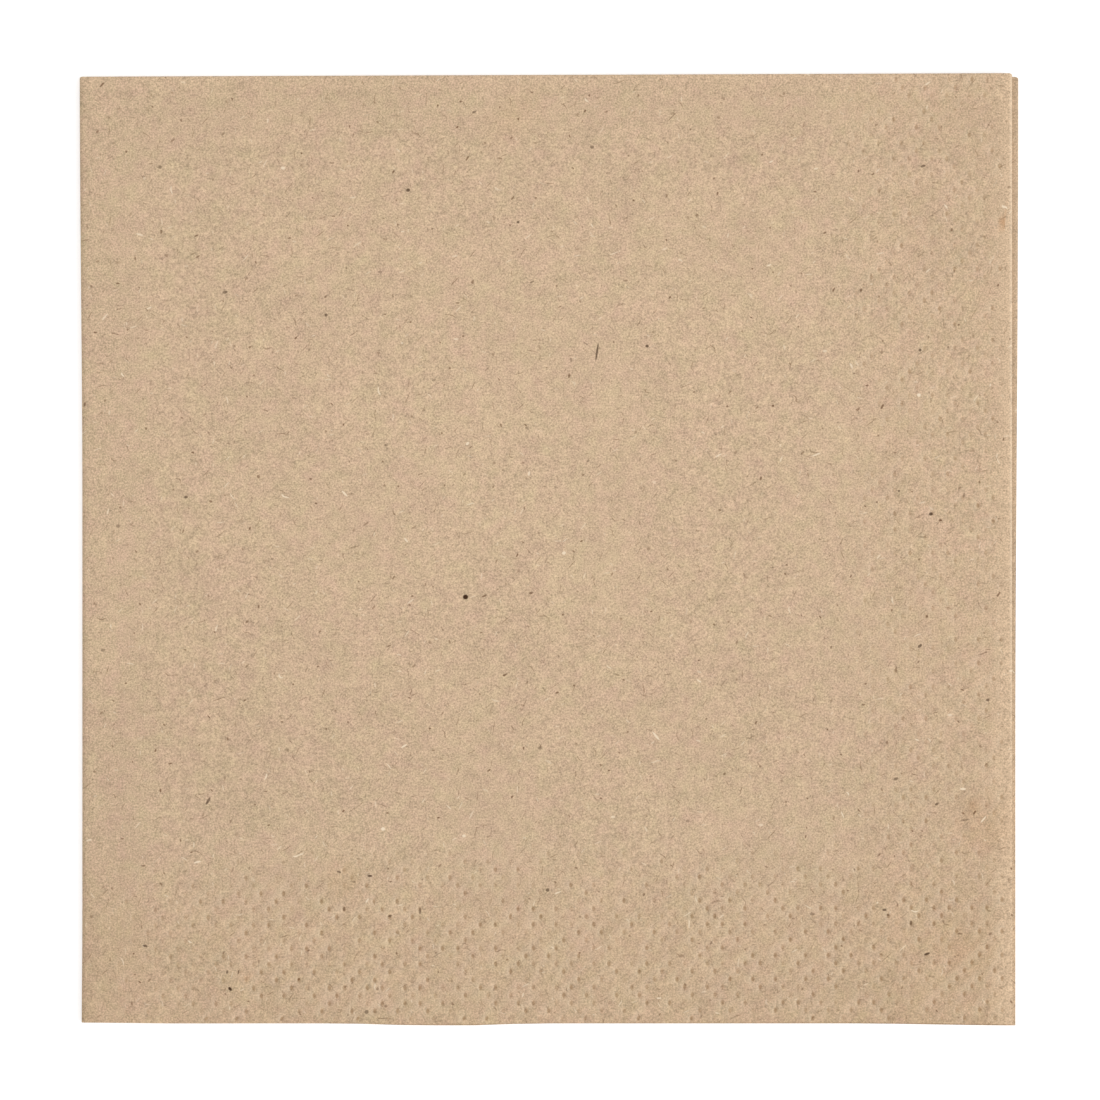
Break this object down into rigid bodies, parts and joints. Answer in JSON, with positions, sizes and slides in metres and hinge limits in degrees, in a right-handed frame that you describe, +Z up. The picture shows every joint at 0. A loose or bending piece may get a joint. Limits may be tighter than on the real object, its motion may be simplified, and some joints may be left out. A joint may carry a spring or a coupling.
{
  "type": "paper napkin",
  "caption": "Square napkin of brown recycled tissue paper, folded in half and in half again, with an embossed border.",
  "frame": {"origin": "middle of the footprint, on the surface that the napkin lies on", "axes": "+Z up out of the upper face; +Y towards the first fold; +X away from the second fold, towards the open edge"},
  "size_m": [0.1634, 0.1658, 0.0016],
  "materials": {
    "recycled_tissue": "matt brown recycled tissue with fine fibres"
  },
  "bodies": {
    "root": {"napkin": "recycled_tissue"}
  },
  "joints": []
}
